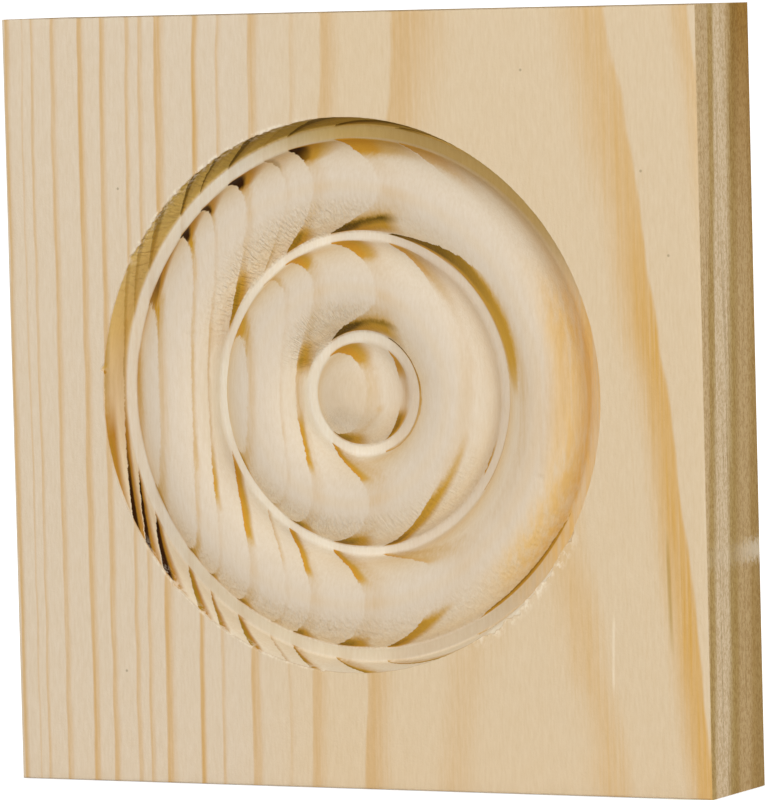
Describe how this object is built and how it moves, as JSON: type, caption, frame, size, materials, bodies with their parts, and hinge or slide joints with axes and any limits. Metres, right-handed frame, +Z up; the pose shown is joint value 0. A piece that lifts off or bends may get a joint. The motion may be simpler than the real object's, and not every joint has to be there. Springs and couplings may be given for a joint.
{
  "type": "corner rosette block",
  "caption": "Square softwood corner block with a turned bullseye rosette sunk in its face, set where the leg and head casings of a door or window meet.",
  "frame": {"origin": "middle of the back face, which lies against the wall", "axes": "+Z up as the block is fixed, +Y into the wall, so the rosette looks along -Y"},
  "size_m": [0.0952, 0.0159, 0.0958],
  "materials": {
    "pine": "bare, sanded"
  },
  "bodies": {
    "root": {"rosette_block": "pine"}
  },
  "joints": []
}
